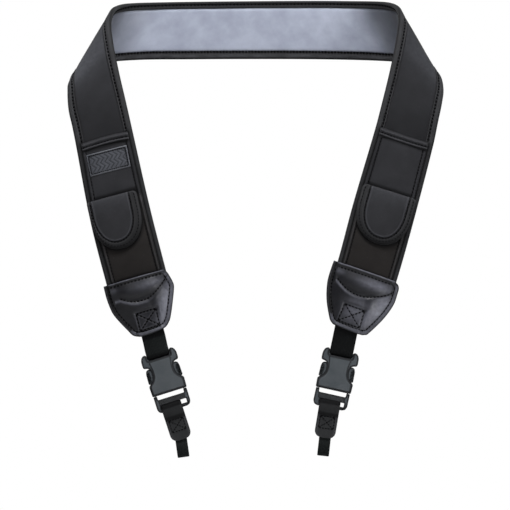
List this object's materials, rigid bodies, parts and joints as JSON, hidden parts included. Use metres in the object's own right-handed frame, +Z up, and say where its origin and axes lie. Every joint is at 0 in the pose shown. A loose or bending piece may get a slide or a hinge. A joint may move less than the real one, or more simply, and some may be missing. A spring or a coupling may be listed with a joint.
{
  "type": "camera neck strap",
  "caption": "Padded camera neck strap with a satin lining, pockets under flaps, leatherette end caps, webbing, side-release buckles and narrow lug loops.",
  "frame": {"origin": "middle of the back strip, on its lining face, where the strap sits on the back of the neck", "axes": "+X to the right arm as seen from the front, +Y away from the viewer, from the neck out through the back strip, +Z up"},
  "size_m": [0.3778, 0.1111, 0.4589],
  "materials": {
    "neoprene": "matte jersey over foam",
    "lining": "satin",
    "binding": "matte folded tape",
    "leatherette": "smooth, half gloss",
    "webbing": "woven",
    "buckle_plastic": "moulded, fine texture",
    "tab_fabric": "smooth matte",
    "label_fabric": "close woven patch, bare"
  },
  "bodies": {
    "root": {"inner_edge_binding": "binding", "left_buckle_frame": "buckle_plastic", "left_buckle_socket": "buckle_plastic", "left_end_cap": "leatherette", "left_flap_binding": "binding", "left_label": "label_fabric", "left_lug_loop": "webbing", "left_pocket_bag": "neoprene", "left_pocket_flap": "neoprene", "left_pocket_hem": "neoprene", "left_pocket_panel": "neoprene", "left_tab": "tab_fabric", "left_web": "webbing", "neck_pad": "neoprene", "outer_edge_binding": "binding", "pad_lining": "lining", "right_buckle_frame": "buckle_plastic", "right_buckle_socket": "buckle_plastic", "right_end_cap": "leatherette", "right_flap_binding": "binding", "right_lug_loop": "webbing", "right_pocket_bag": "neoprene", "right_pocket_flap": "neoprene", "right_pocket_hem": "neoprene", "right_pocket_panel": "neoprene", "right_tab": "tab_fabric", "right_web": "webbing"}
  },
  "joints": []
}
